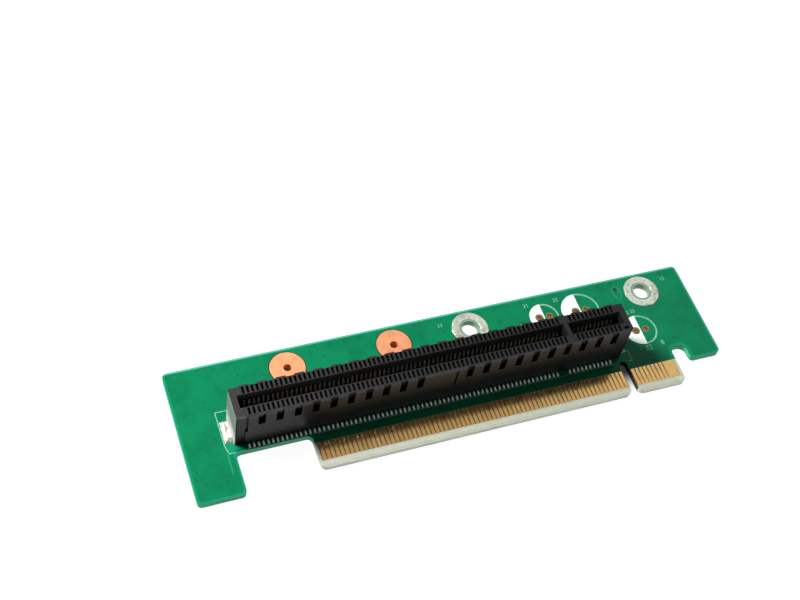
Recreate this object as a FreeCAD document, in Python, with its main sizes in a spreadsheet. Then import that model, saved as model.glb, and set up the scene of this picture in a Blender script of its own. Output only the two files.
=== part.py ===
import FreeCAD, Part
import Sketcher
import math
import os
from FreeCAD import Vector, Placement, Rotation

# Riser card: a printed board with a x16 edge connector on its lower edge and a x16 card slot soldered flat on its top face.
# Frame: millimetres, +Z up.  The board lies flat, its underside in Z = 0.  The origin is under the middle of the board's
# bounding rectangle.  +X runs along the slot from the long contact section to the short one, -Y points out of the edge
# connector's mating edge.  Widths of copper and of the contacts are the usual ones of a 1.00 mm pitch card edge.

doc = FreeCAD.newDocument("riser_card")
sheet = doc.addObject("Spreadsheet::Sheet", "Dims")

DIMS = [
    # board outline
    ("board_length", 122.95, "along X"),
    ("board_width", 31.50, "along Y, from the top edge to the end of the leg"),
    ("board_thick", 1.57, "laminate with its solder mask"),
    ("corner_radius", 1.0, "outer corners"),
    ("leg_width", 10.20, "leg at the left end"),
    ("leg_reach", 9.50, "leg end below the edge beside it"),
    ("gap_radius", 1.2, "inner corners of the gap beside the leg"),
    ("tab_left", -35.02, "left end of the mating tab"),
    ("tab_right", 50.20, "right end of the mating tab"),
    ("tab_tip", -14.18, "mating edge"),
    ("tab_radius", 1.3, "corners of the tab"),
    ("key_centre", 37.58, "key notch centre"),
    ("key_width", 1.90, "key notch width"),
    ("key_depth", 8.25, "key notch depth"),
    ("ear_left", 54.00, "left side of the ear at the right end"),
    ("ear_end", -9.03, "lower end of the ear"),
    ("relief_top", -5.20, "top of the relief slot between tab and ear"),
    ("bevel_long", 0.75, "bevel of the mating edge, along the board"),
    ("bevel_deep", 0.22, "bevel of the mating edge, into the thickness"),
    # edge contacts
    ("pitch", 1.00, "contact pitch"),
    ("finger_width", 0.70, "edge contact"),
    ("finger_length", 4.20, "edge contact"),
    ("finger_start", 1.66, "edge contact's lower end above the mating edge"),
    ("foil_thick", 0.04, "exposed copper and its plating"),
    ("first_finger", 1.50, "nearest contact each side of the key centre"),
    ("long_count", 71, "contacts left of the key"),
    ("short_count", 11, "contacts right of the key"),
    ("power_width", 2.70, "first three contacts joined as one pad"),
    # holes and pads in the board
    ("row_line", 10.80, "line of the discs and mounting holes"),
    ("disc_left", -35.30, "copper disc"),
    ("disc_right", -11.00, "copper disc"),
    ("disc_radius", 3.96, "copper disc"),
    ("disc_bore", 0.90, "copper disc's hole"),
    ("mount_left", 7.15, "mounting hole"),
    ("mount_right", 50.45, "mounting hole"),
    ("mount_bore", 1.90, "mounting hole radius"),
    ("mount_ring_out", 4.18, "tinned ring round a mounting hole"),
    ("mount_ring_in", 2.38, "tinned ring round a mounting hole"),
    ("tin_thick", 0.10, "tinned ring"),
    ("lead_pitch", 2.50, "capacitor lead holes"),
    ("lead_pad", 0.80, "capacitor pad radius"),
    ("lead_bore", 0.40, "capacitor hole radius inside its plating"),
    ("plate_wall", 0.10, "plating of a hole"),
    ("plate_gap", 0.01, "room round a plated barrel"),
    ("cap_a_x", 25.05, "capacitor place"), ("cap_a_y", 9.60, ""),
    ("cap_b_x", 34.05, "capacitor place"), ("cap_b_y", 9.25, ""),
    ("cap_c_x", 45.65, "capacitor place"), ("cap_c_y", 0.90, ""),
    ("via_x", 44.40, "test via"), ("via_y", 12.69, ""), ("via_pad", 0.60, ""), ("via_bore", 0.20, ""),
    # slot housing; its own key centre and centreline place it on the board
    ("slot_key", 23.37, "key centre of the card slot"),
    ("slot_line", -1.15, "centreline of the card slot"),
    ("slot_left", 74.45, "housing end left of its key"),
    ("slot_right", 14.45, "housing end right of its key"),
    ("slot_height", 11.25, "housing top above the board"),
    ("slot_half", 3.45, "half of the housing's width between its ribs"),
    ("slot_proud", 0.30, "ribs and piers stand out"),
    ("slot_stand", 0.45, "housing's underside above the board"),
    ("corner_round", 0.35, "housing's upright corners"),
    ("foot_length", 2.20, "feet at the housing's ends"),
    ("foot_inner", 2.60, "feet's inner sides from the centreline"),
    ("mouth_half", 1.50, "lead-in at the top"),
    ("mouth_deep", 1.00, "lead-in depth"),
    ("way_half", 0.88, "card's way"),
    ("way_deep", 8.20, "card's way depth"),
    ("way_left", 72.80, "end of the card's way left of the key"),
    ("way_right", 12.80, "end of the card's way right of the key"),
    ("way_lead", 0.30, "lead-in at the ends"),
    ("rib_half", 0.85, "half of the key rib"),
    ("cell_width", 0.54, "contact cell"),
    ("cell_in", 1.65, "cell's inner end at the top"),
    ("cell_out", 3.28, "cell's outer end"),
    ("cell_floor", 1.00, "cell's floor above the board"),
    ("lip_deep", 1.20, "lip between the mouth and the cells"),
    ("window_pitch", 3.785, "windows in the front wall"),
    ("window_width", 1.50, "window"),
    ("window_first", 10.22, "first window's centre right of the key"),
    ("window_count", 10, "windows in each run"),
    ("window_second", -35.01, "second run's first window"),
    ("window_top", 11.05, "above the board"),
    ("window_low", 7.18, "above the board"),
    ("window_deep", 1.15, "behind the wall's face"),
    ("ramp_top", 0.22, "ramp's depth at the window's top"), ("ramp_low", 0.62, "ramp's depth at its lower edge"), ("ramp_end", 8.75, "ramp's lower edge above the board"),
    ("wall_slope", 0.70, "height of the slope from the lip out to the front wall"),
    ("slit_width", 0.45, "upright slits in the front wall"),
    ("slit_deep", 0.45, ""), ("slit_low", 5.20, ""), ("slit_top", 10.65, ""),
    ("slit_a", -72.37, "left slit from the key"), ("slit_b", -27.05, "middle slit from the key"),
    ("rib_pitch", 3.92, "ribs on the rear wall"),
    ("rib_width", 2.10, "rib"),
    ("rib_first", 11.20, "first rib's centre right of the key"),
    ("rib_count", 22, "ribs"),
    ("pocket_x", 13.00, "small pocket in the top face"), ("pocket_y", -2.75, ""), ("pocket_w", 1.15, ""), ("pocket_h", 0.60, ""), ("pocket_deep", 1.50, ""),
    # contacts
    ("contact_width", 0.42, ""),
    ("contact_thick", 0.20, ""),
    ("tail_tip", 4.63, "tail's end from the centreline"),
    ("root_line", 2.60, "root's inner side from the centreline"),
    ("bulge_line", 0.68, "contact's nose from the centreline"),
    ("bulge_height", 7.60, "contact's nose above the board"),
    ("tip_line", 1.30, "contact's tip from the centreline"),
    ("tip_height", 9.75, "contact's tip above the board"),
    # solder lands
    ("land_thick", 0.03, ""), ("land_width", 0.60, ""), ("land_in", 3.55, ""), ("land_out", 4.86, ""),
    # hold-downs
    ("clip_thick", 0.25, ""), ("clip_half", 2.10, "half of its width"), ("clip_foot", 1.50, "foot beyond the housing's end"),
    ("clip_inset", 0.20, "upright behind the housing's end face"), ("clip_height", 4.30, "upright's top above the board"),
    ("clip_land_half", 2.55, ""), ("clip_land_out", 1.70, ""), ("clip_land_in", 0.30, ""),
]
for row, (alias, value, note) in enumerate(DIMS, start=1):
    sheet.set("A%d" % row, alias)
    sheet.set("B%d" % row, repr(value))
    sheet.set("C%d" % row, note or alias.replace("_", " "))
    sheet.setAlias("B%d" % row, alias)
doc.recompute()
D = {alias: value for alias, value, note in DIMS}


def cell(text):
    """Aliases in an expression get the sheet's name in front."""
    out, word = "", ""
    for ch in text + " ":
        if ch.isalnum() or ch == "_":
            word += ch
        else:
            out += ("Dims." + word) if word in D else word
            word = ""
            out += ch
    return out.strip()


def number(text):
    return float(sheet.evalExpression(cell(text).replace("Dims.", "")))


def new_body(label):
    body = doc.addObject("PartDesign::Body", label)
    body.Label = label
    body.AllowCompound = True
    return body


def origin_part(body, role):
    for feature in body.Origin.OriginFeatures:
        if feature.Role == role:
            return feature
    raise RuntimeError(role)


def new_sketch(body, name, role, offset=None):
    sk = body.newObject("Sketcher::SketchObject", name)
    sk.AttachmentSupport = (origin_part(body, role), [""])
    sk.MapMode = "FlatFace"
    if offset is not None:
        sk.AttachmentOffset = Placement(Vector(0, 0, number(offset)), Rotation())
        sk.setExpression("AttachmentOffset.Base.z", cell(offset))
    return sk


def add_polygon(sk, points):
    """Closed polygon; every corner is held from the sketch's origin by two driven distances."""
    first = sk.GeometryCount
    xy = [(number(a), number(b)) for a, b in points]
    n = len(points)
    for i in range(n):
        a, b = xy[i], xy[(i + 1) % n]
        sk.addGeometry(Part.LineSegment(Vector(a[0], a[1], 0), Vector(b[0], b[1], 0)), False)
    for i in range(n):
        sk.addConstraint(Sketcher.Constraint("Coincident", first + i, 2, first + (i + 1) % n, 1))
    for i in range(n):
        for kind, k in (("DistanceX", 0), ("DistanceY", 1)):
            at = sk.addConstraint(Sketcher.Constraint(kind, -1, 1, first + i, 1, xy[i][k]))
            sk.setExpression("Constraints[%d]" % at, cell(points[i][k]))
    return sk


def add_rectangle(sk, x0, y0, x1, y1):
    return add_polygon(sk, [(x0, y0), (x1, y0), (x1, y1), (x0, y1)])


def add_circle(sk, x, y, radius):
    at = sk.addGeometry(Part.Circle(Vector(number(x), number(y), 0), Vector(0, 0, 1), number(radius)), False)
    for kind, k in (("DistanceX", x), ("DistanceY", y)):
        c = sk.addConstraint(Sketcher.Constraint(kind, -1, 1, at, 3, number(k)))
        sk.setExpression("Constraints[%d]" % c, cell(k))
    c = sk.addConstraint(Sketcher.Constraint("Radius", at, number(radius)))
    sk.setExpression("Constraints[%d]" % c, cell(radius))
    return sk


def pad(body, name, sk, length, reverse=False, both=False):
    f = body.newObject("PartDesign::Pad", name)
    f.Profile = sk
    f.Length = number(length)
    f.setExpression("Length", cell(length))
    f.Reversed = reverse
    if both:
        f.SideType = "Symmetric"
    return f


def pocket(body, name, sk, length, reverse=False, both=False):
    """A pocket runs against its sketch's normal unless reversed; the volume it takes away is looked at."""
    doc.recompute()
    before = body.Shape.Volume
    f = body.newObject("PartDesign::Pocket", name)
    f.Profile = sk
    f.Length = number(length)
    f.setExpression("Length", cell(length))
    f.Reversed = reverse
    if both:
        f.SideType = "Symmetric"
    doc.recompute()
    if not body.Shape.Volume < before - 1e-4:
        raise RuntimeError("%s cuts nothing" % name)
    return f


def repeat(body, name, originals, count, spacing, reverse=False):
    f = body.newObject("PartDesign::LinearPattern", name)
    f.Originals = originals
    f.Direction = (origin_part(body, "X_Axis"), [""])
    f.Reversed = reverse
    f.Mode = "Spacing"
    f.Offset = number(spacing)
    f.setExpression("Offset", cell(spacing))
    f.Occurrences = int(number(count))
    f.setExpression("Occurrences", cell(count))
    body.Tip = f
    doc.recompute()
    return f


def upright_edges(shape, places, tol=0.02):
    """Names of the edges along Z through the given X, Y places."""
    names = []
    for i, edge in enumerate(shape.Edges, start=1):
        a, b = edge.Vertexes[0].Point, edge.Vertexes[-1].Point
        if abs(a.x - b.x) < 1e-4 and abs(a.y - b.y) < 1e-4 and abs(a.z - b.z) > 0.2:
            for x, y in places:
                if abs(a.x - x) < tol and abs(a.y - y) < tol:
                    names.append("Edge%d" % i)
    return names


def round_edges(body, name, base, places, radius):
    doc.recompute()
    spots = [(number(a), number(b)) for a, b in places]
    edges = upright_edges(base.Shape, spots)
    if len(edges) != len(spots):
        raise RuntimeError("%s: %d edges of %d" % (name, len(edges), len(spots)))
    f = body.newObject("PartDesign::Fillet", name)
    f.Base = (base, edges)
    f.Radius = number(radius)
    f.setExpression("Radius", cell(radius))
    doc.recompute()
    return f


XL, XR = "-board_length/2", "board_length/2"
YB, YT = "-board_width/2", "board_width/2"
GAP = "(-board_width/2 + leg_reach)"

# ---------------------------------------------------------------- the board
board = new_body("circuit_board")
sk = new_sketch(board, "board_outline", "XY_Plane")
add_polygon(sk, [
    (XL, YB), ("leg_width - board_length/2", YB), ("leg_width - board_length/2", GAP), ("tab_left", GAP), ("tab_left", "tab_tip"),
    ("key_centre - key_width/2", "tab_tip"), ("key_centre - key_width/2", "tab_tip + key_depth - key_width/2"),
    ("key_centre + key_width/2", "tab_tip + key_depth - key_width/2"), ("key_centre + key_width/2", "tab_tip"),
    ("tab_right", "tab_tip"), ("tab_right", "relief_top"), ("ear_left", "relief_top"), ("ear_left", "ear_end"), (XR, "ear_end"),
    (XR, YT), (XL, YT)])
slab = pad(board, "board_slab", sk, "board_thick")
last = round_edges(board, "board_corners", slab, [(XL, YB), ("leg_width - board_length/2", YB), (XR, "ear_end"), ("ear_left", "ear_end"), (XR, YT), (XL, YT)], "corner_radius")
last = round_edges(board, "gap_corners", last, [("leg_width - board_length/2", GAP), ("tab_left", GAP)], "gap_radius")
last = round_edges(board, "tab_corners", last, [("tab_left", "tab_tip"), ("key_centre - key_width/2", "tab_tip"), ("key_centre + key_width/2", "tab_tip"), ("tab_right", "tab_tip")], "tab_radius")
last = round_edges(board, "relief_corners", last, [("tab_right", "relief_top"), ("ear_left", "relief_top")], "(ear_left - tab_right)/2 - 0.25")
sk = add_circle(new_sketch(board, "key_round", "XY_Plane", "board_thick"), "key_centre", "tab_tip + key_depth - key_width/2", "key_width/2")
pocket(board, "key_round_end", sk, "board_thick")
# the mating edge is bevelled on both faces, over the tab only
sk = new_sketch(board, "bevel_profile", "YZ_Plane", "(tab_left + tab_right)/2")
add_polygon(sk, [("tab_tip - 0.5", "board_thick + 0.3"), ("tab_tip - 0.5", "board_thick - bevel_deep*(1 + 0.5/bevel_long)"), ("tab_tip + bevel_long", "board_thick"), ("tab_tip + bevel_long", "board_thick + 0.3")])
add_polygon(sk, [("tab_tip - 0.5", "-0.3"), ("tab_tip - 0.5", "bevel_deep*(1 + 0.5/bevel_long)"), ("tab_tip + bevel_long", "0.0001"), ("tab_tip + bevel_long", "-0.3")])
pocket(board, "tip_bevel", sk, "tab_right - tab_left + 2", both=True)
# bare laminate round the edge contacts: the solder mask ends above them, on both faces
sk = add_rectangle(new_sketch(board, "mask_end_top", "XY_Plane", "board_thick"), "tab_left - 1", "tab_tip - 1", "tab_right + 1", "tab_tip + finger_start + finger_length + 0.08")
pocket(board, "bare_top", sk, "foil_thick")
sk = add_rectangle(new_sketch(board, "mask_end_bottom", "XY_Plane"), "tab_left - 1", "tab_tip - 1", "tab_right + 1", "tab_tip + finger_start + finger_length + 0.08")
pocket(board, "bare_bottom", sk, "foil_thick", reverse=True)
# drilled holes
sk = new_sketch(board, "drill_holes", "XY_Plane", "board_thick")
for x in ("mount_left", "mount_right"):
    add_circle(sk, x, "row_line", "mount_bore")
for x in ("disc_left", "disc_right"):
    add_circle(sk, x, "row_line", "disc_bore + plate_wall")
for c in "abc":
    for side in ("- lead_pitch/2", "+ lead_pitch/2"):
        add_circle(sk, "cap_%s_x %s" % (c, side), "cap_%s_y" % c, "lead_bore + plate_wall")
add_circle(sk, "via_x", "via_y", "via_bore + plate_wall")
pocket(board, "drilled", sk, "board_thick")
# the copper on the underside lies in openings of the solder mask, level with it
sk = new_sketch(board, "mask_openings", "XY_Plane")
for x in ("mount_left", "mount_right"):
    add_circle(sk, x, "row_line", "mount_ring_out")
    add_circle(sk, x, "row_line", "mount_ring_in")
for x in ("disc_left", "disc_right"):
    add_circle(sk, x, "row_line", "disc_radius")
for c in "abc":
    for side in ("- lead_pitch/2", "+ lead_pitch/2"):
        add_circle(sk, "cap_%s_x %s" % (c, side), "cap_%s_y" % c, "lead_pad")
add_circle(sk, "via_x", "via_y", "via_pad")
pocket(board, "openings_bottom", sk, "foil_thick", reverse=True)


# ---------------------------------------------------------------- edge contacts
def finger_row(label, level, up, first, count, to_left):
    body = new_body(label)
    s = add_rectangle(new_sketch(body, label + "_one", "XY_Plane", level), first + " - finger_width/2", "tab_tip + finger_start", first + " + finger_width/2", "tab_tip + finger_start + finger_length")
    p = pad(body, label + "_pad", s, "foil_thick", reverse=not up)
    repeat(body, label + "_row", [p], count, "pitch", reverse=to_left)
    return body


bodies = [board]
bodies.append(finger_row("edge_contacts_top_long", "board_thick", False, "key_centre - first_finger", "long_count", True))
bodies.append(finger_row("edge_contacts_top_short", "board_thick", False, "key_centre + first_finger", "short_count - 3", False))
bodies.append(finger_row("edge_contacts_bottom_long", "0.0001 - 0.0001", True, "key_centre - first_finger", "long_count", True))
bodies.append(finger_row("edge_contacts_bottom_short", "0.0001 - 0.0001", True, "key_centre + first_finger", "short_count", False))
power = new_body("edge_power_pad")
sk = add_rectangle(new_sketch(power, "power_outline", "XY_Plane", "board_thick"), "key_centre + first_finger + (short_count - 3)*pitch - finger_width/2", "tab_tip + finger_start",
                   "key_centre + first_finger + (short_count - 3)*pitch - finger_width/2 + power_width", "tab_tip + finger_start + finger_length")
pad(power, "power_foil", sk, "foil_thick", reverse=True)
bodies.append(power)


# ---------------------------------------------------------------- plated holes, discs and rings
def spool(label, places, pad_radius, bore):
    """Foil on both faces joined by the plated barrel of the hole."""
    body = new_body(label)
    s = new_sketch(body, label + "_faces", "XY_Plane")
    for x, y in places:
        add_circle(s, x, y, pad_radius)
    pad(body, label + "_lower", s, "foil_thick")
    s = new_sketch(body, label + "_upper_faces", "XY_Plane", "board_thick")
    for x, y in places:
        add_circle(s, x, y, pad_radius)
    pad(body, label + "_upper", s, "foil_thick")
    s = new_sketch(body, label + "_walls", "XY_Plane")
    for x, y in places:
        add_circle(s, x, y, bore + " + plate_wall - plate_gap")
    pad(body, label + "_barrel", s, "board_thick + foil_thick/2")
    s = new_sketch(body, label + "_bores", "XY_Plane", "board_thick + foil_thick")
    for x, y in places:
        add_circle(s, x, y, bore)
    pocket(body, label + "_bore", s, "board_thick + 2*foil_thick")
    return body


bodies.append(spool("copper_disc_left", [("disc_left", "row_line")], "disc_radius", "disc_bore"))
bodies.append(spool("copper_disc_right", [("disc_right", "row_line")], "disc_radius", "disc_bore"))
for c in "abc":
    bodies.append(spool("capacitor_pads_" + c, [("cap_%s_x - lead_pitch/2" % c, "cap_%s_y" % c), ("cap_%s_x + lead_pitch/2" % c, "cap_%s_y" % c)], "lead_pad", "lead_bore"))
bodies.append(spool("test_via", [("via_x", "via_y")], "via_pad", "via_bore"))
for side in ("left", "right"):
    ring = new_body("mounting_ring_" + side)
    x = "mount_" + side
    sk = new_sketch(ring, "ring_top_" + side, "XY_Plane", "board_thick")
    add_circle(sk, x, "row_line", "mount_ring_out")
    add_circle(sk, x, "row_line", "mount_ring_in")
    pad(ring, "ring_tin_top_" + side, sk, "tin_thick")
    sk = new_sketch(ring, "ring_bottom_" + side, "XY_Plane")
    add_circle(sk, x, "row_line", "mount_ring_out")
    add_circle(sk, x, "row_line", "mount_ring_in")
    pad(ring, "ring_tin_bottom_" + side, sk, "foil_thick")
    bodies.append(ring)

# ---------------------------------------------------------------- slot housing
# Heights are above the board's top face, lengths from the slot's key centre, widths from its centreline.
HX = "slot_key"
HY = "slot_line"
HZ = "board_thick"
house = new_body("slot_housing")
sk = add_rectangle(new_sketch(house, "housing_plan", "XY_Plane", HZ + " + slot_stand"), HX + " - slot_left", HY + " - slot_half", HX + " + slot_right", HY + " + slot_half")
pad(house, "housing_block", sk, "slot_height - slot_stand")
# front wall stands proud between the left slit and the right end
sk = add_rectangle(new_sketch(house, "front_wall_plan", "XY_Plane", HZ + " + slot_stand"), HX + " + slit_a", HY + " - slot_half - slot_proud", HX + " + slot_right - 0.9", HY + " - slot_half + 0.2")
pad(house, "front_wall", sk, "slot_height - slot_stand")
# its top slopes up and back to the lip
sk = new_sketch(house, "front_slope", "YZ_Plane", "slot_key - slot_left/2 + slot_right/2")
face = HY + " - slot_half - slot_proud"
add_polygon(sk, [(face + " - 0.3", HZ + " + slot_height + 0.3"), (face + " + slot_proud", HZ + " + slot_height + 0.3"), (face + " + slot_proud", HZ + " + slot_height"), (face, HZ + " + slot_height - wall_slope"), (face + " - 0.3", HZ + " + slot_height - wall_slope")])
pocket(house, "front_slope_cut", sk, "slot_left + slot_right + 2", both=True)
# ribs on the rear wall
sk = add_rectangle(new_sketch(house, "rib_plan", "XY_Plane", HZ + " + 1.2"), HX + " + rib_first - rib_width/2", HY + " + slot_half - 0.2", HX + " + rib_first + rib_width/2", HY + " + slot_half + slot_proud")
rib = pad(house, "rear_rib", sk, "slot_height - 1.2")
repeat(house, "rear_ribs", [rib], "rib_count", "rib_pitch", reverse=True)
# four feet stand on the board, two at each end
sk = new_sketch(house, "feet_plan", "XY_Plane", HZ)
for a, b in ((HX + " - slot_left", HX + " - slot_left + foot_length"), (HX + " + slot_right - foot_length", HX + " + slot_right")):
    add_rectangle(sk, a, HY + " - slot_half", b, HY + " - foot_inner")
    add_rectangle(sk, a, HY + " + foot_inner", b, HY + " + slot_half")
feet = pad(house, "feet", sk, "slot_stand + 0.05")
doc.recompute()
round_edges(house, "corner_rounding", feet, [(HX + end, HY + side) for end in (" - slot_left", " + slot_right") for side in (" - slot_half", " + slot_half")], "corner_round")
# the card's way, in two lengths with the key rib between them, and its lead-in
TOP = HZ + " + slot_height"
sk = new_sketch(house, "way_plan", "XY_Plane", TOP)
add_rectangle(sk, HX + " - way_left", HY + " - way_half", HX + " - rib_half", HY + " + way_half")
add_rectangle(sk, HX + " + rib_half", HY + " - way_half", HX + " + way_right", HY + " + way_half")
pocket(house, "card_way", sk, "way_deep")
for tag, a, b in (("long", "way_left", "0 - rib_half"), ("short", "0 - rib_half", "way_right")):
    low = new_sketch(house, "lead_low_" + tag, "XY_Plane", TOP + " - mouth_deep")
    up = new_sketch(house, "lead_up_" + tag, "XY_Plane", TOP)
    if tag == "long":
        add_rectangle(low, HX + " - way_left", HY + " - way_half", HX + " - rib_half", HY + " + way_half")
        add_rectangle(up, HX + " - way_left - way_lead", HY + " - mouth_half", HX + " - rib_half + 0.35", HY + " + mouth_half")
    else:
        add_rectangle(low, HX + " + rib_half", HY + " - way_half", HX + " + way_right", HY + " + way_half")
        add_rectangle(up, HX + " + rib_half - 0.35", HY + " - mouth_half", HX + " + way_right + way_lead", HY + " + mouth_half")
    doc.recompute()
    before = house.Shape.Volume
    lead = house.newObject("PartDesign::SubtractiveLoft", "lead_in_" + tag)
    lead.Profile = low
    lead.Sections = [up]
    lead.Ruled = True
    doc.recompute()
    if not house.Shape.Volume < before - 1e-3:
        raise RuntimeError("lead-in cuts nothing")


# contact cells: open to the top behind a lip, open to the card's way below it, with a slit for the root through the floor
def cells(tag, start, count, to_left, side):
    """side is 1 for the rear row and -1 for the front row."""
    sg = "+" if side > 0 else "-"
    s = new_sketch(house, "cell_" + tag, "YZ_Plane", start)
    y = lambda text: "%s %s (%s)" % (HY, sg, text)
    z = lambda text: "%s + %s" % (HZ, text)
    add_polygon(s, [
        (y("cell_in"), z("slot_height + 0.5")), (y("cell_out"), z("slot_height + 0.5")), (y("cell_out"), z("cell_floor")),
        (y("root_line + contact_thick"), z("cell_floor")), (y("root_line + contact_thick"), z("0.2")), (y("root_line"), z("0.2")), (y("root_line"), z("cell_floor")),
        (y("1.45"), z("cell_floor")), (y("1.45"), z("3.45")), (y("0.45"), z("4.1")), (y("0.45"), z("slot_height - lip_deep")), (y("cell_in"), z("slot_height - lip_deep"))])
    p = pocket(house, "cell_cut_" + tag, s, "cell_width", both=True)
    repeat(house, "cells_" + tag, [p], count, "pitch", reverse=to_left)


cells("rear_long", "slot_key - first_finger", "long_count", True, 1)
cells("rear_short", "slot_key + first_finger", "short_count", False, 1)
cells("front_long", "slot_key - first_finger", "long_count", True, -1)
cells("front_short", "slot_key + first_finger", "short_count", False, -1)

# windows in the front wall: under a shallow ramp each one opens into the cells
for tag, start in (("right", "slot_key + window_first"), ("left", "slot_key + window_second")):
    sk = new_sketch(house, "window_" + tag, "YZ_Plane", start)
    face = HY + " - slot_half - slot_proud"
    z = lambda text: "%s + %s" % (HZ, text)
    add_polygon(sk, [(face + " - 0.3", z("window_top")), (face + " + ramp_top", z("window_top")), (face + " + ramp_low", z("ramp_end")), (face + " + window_deep", z("ramp_end")),
                     (face + " + window_deep", z("window_low - 0.5")), (face, z("window_low")), (face + " - 0.3", z("window_low"))])
    p = pocket(house, "window_cut_" + tag, sk, "window_width", both=True)
    repeat(house, "windows_" + tag, [p], "window_count", "window_pitch", reverse=True)
# two upright slits in the front wall
sk = new_sketch(house, "slits", "XZ_Plane", "0 - (slot_line - slot_half - slot_proud)")
for name in ("slit_a", "slit_b"):
    add_rectangle(sk, HX + " + " + name, HZ + " + slit_low", HX + " + " + name + " + slit_width", HZ + " + slit_top")
pocket(house, "slit_cut", sk, "slit_deep")
# small pocket in the top face near the right end
sk = add_rectangle(new_sketch(house, "corner_pocket_plan", "XY_Plane", TOP), HX + " + pocket_x - pocket_w/2", HY + " + pocket_y - pocket_h/2", HX + " + pocket_x + pocket_w/2", HY + " + pocket_y + pocket_h/2")
pocket(house, "corner_pocket", sk, "pocket_deep")
# the hold-downs' uprights sit in slits at the ends
sk = new_sketch(house, "clip_slits", "XY_Plane", HZ)
add_rectangle(sk, HX + " - slot_left + clip_inset", HY + " - clip_half", HX + " - slot_left + clip_inset + clip_thick", HY + " + clip_half")
add_rectangle(sk, HX + " + slot_right - clip_inset - clip_thick", HY + " - clip_half", HX + " + slot_right - clip_inset", HY + " + clip_half")
pocket(house, "clip_slit_cut", sk, "clip_height", reverse=True)
bodies.append(house)


# ---------------------------------------------------------------- contacts of the slot
def contact_row(label, start, count, to_left, side):
    """Strip bent from a flat tail on the board, up the root, in to the nose that presses on the card, and back out to its tip."""
    sg = "+" if side > 0 else "-"
    body = new_body(label)
    s = new_sketch(body, label + "_shape", "YZ_Plane", start)
    y = lambda text: "%s %s (%s)" % (HY, sg, text)
    z = lambda text: "%s + land_thick + %s" % (HZ, text)
    th = "contact_thick"
    add_polygon(s, [
        (y("tail_tip"), z("0.0001")), (y("tail_tip"), z(th)), (y("root_line + %s + 0.18" % th), z(th)), (y("root_line + %s" % th), z(th + " + 0.16")),
        (y("root_line + %s" % th), z("3.2")), (y("bulge_line + 0.62"), z("bulge_height - 1.35")), (y("bulge_line + %s" % th), z("bulge_height - 0.25")), (y("bulge_line + %s" % th), z("bulge_height + 0.25")),
        (y("tip_line + %s" % th), z("tip_height")), (y("tip_line"), z("tip_height")),
        (y("bulge_line"), z("bulge_height + 0.3")), (y("bulge_line"), z("bulge_height - 0.3")), (y("bulge_line + 0.42"), z("bulge_height - 1.45")), (y("root_line"), z("3.15")),
        (y("root_line"), z("0.0001"))])
    p = pad(body, label + "_strip", s, "contact_width", both=True)
    repeat(body, label + "_set", [p], count, "pitch", reverse=to_left)
    return body


bodies.append(contact_row("slot_contacts_rear_long", "slot_key - first_finger", "long_count", True, 1))
bodies.append(contact_row("slot_contacts_rear_short", "slot_key + first_finger", "short_count", False, 1))
bodies.append(contact_row("slot_contacts_front_long", "slot_key - first_finger", "long_count", True, -1))
bodies.append(contact_row("slot_contacts_front_short", "slot_key + first_finger", "short_count", False, -1))

# ---------------------------------------------------------------- solder lands of the tails
for tag, sg in (("rear", "+"), ("front", "-")):
    lands = new_body("solder_lands_" + tag)
    for part_tag, start, count, left in (("long", "slot_key - first_finger", "long_count", True), ("short", "slot_key + first_finger", "short_count", False)):
        sk = new_sketch(lands, "land_%s_%s" % (tag, part_tag), "XY_Plane", HZ)
        add_rectangle(sk, start + " - land_width/2", "%s %s land_in" % (HY, sg), start + " + land_width/2", "%s %s land_out" % (HY, sg))
        p = pad(lands, "land_pad_%s_%s" % (tag, part_tag), sk, "land_thick")
        repeat(lands, "lands_%s_%s" % (tag, part_tag), [p], count, "pitch", reverse=left)
    bodies.append(lands)

# ---------------------------------------------------------------- hold-downs at the housing's ends, with their lands
for tag, edge, out in (("left", "(slot_key - slot_left)", "-"), ("right", "(slot_key + slot_right)", "+")):
    inn = "+" if out == "-" else "-"
    clip = new_body("hold_down_" + tag)
    sk = new_sketch(clip, "clip_profile_" + tag, "XZ_Plane", "0 - slot_line")
    z = lambda text: "%s + land_thick + %s" % (HZ, text)
    near = "%s %s clip_inset" % (edge, inn)
    far = "%s %s (clip_inset + clip_thick)" % (edge, inn)
    add_polygon(sk, [("%s %s clip_foot" % (edge, out), z("0.0001")), ("%s %s clip_foot" % (edge, out), z("clip_thick")), (near, z("clip_thick")), (near, z("clip_height - land_thick")), (far, z("clip_height - land_thick")), (far, z("0.0001"))])
    pad(clip, "clip_strip_" + tag, sk, "2*clip_half", both=True)
    bodies.append(clip)
    land = new_body("hold_down_land_" + tag)
    sk = add_rectangle(new_sketch(land, "clip_land_plan_" + tag, "XY_Plane", HZ), "%s %s clip_land_out" % (edge, out), HY + " - clip_land_half", "%s %s clip_land_in" % (edge, inn), HY + " + clip_land_half")
    pad(land, "clip_land_foil_" + tag, sk, "land_thick")
    bodies.append(land)

doc.recompute()

# ---------------------------------------------------------------- every feature is sound before anything is written
for obj in doc.Objects:
    for word in ("Invalid", "Error"):
        if word in obj.State:
            raise RuntimeError("%s is %s" % (obj.Name, obj.State))
for body in bodies:
    shape = body.Shape
    if shape.isNull() or not shape.isValid() or not shape.Solids or shape.Volume <= 0:
        raise RuntimeError("%s has no sound solid" % body.Label)

os.makedirs("parts", exist_ok=True)
for body in bodies:
    shape = body.Shape
    shape.exportStep("parts/%s.step" % body.Label)
    box = shape.BoundBox
    print("%-28s solids %3d faces %5d vol %10.3f  x %8.3f %8.3f  y %8.3f %8.3f  z %7.3f %7.3f" % (
        body.Label, len(shape.Solids), len(shape.Faces), shape.Volume, box.XMin, box.XMax, box.YMin, box.YMax, box.ZMin, box.ZMax))
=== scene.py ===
import math
import random

import bpy
from mathutils import Matrix, Vector
from mathutils.geometry import tessellate_polygon


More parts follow.
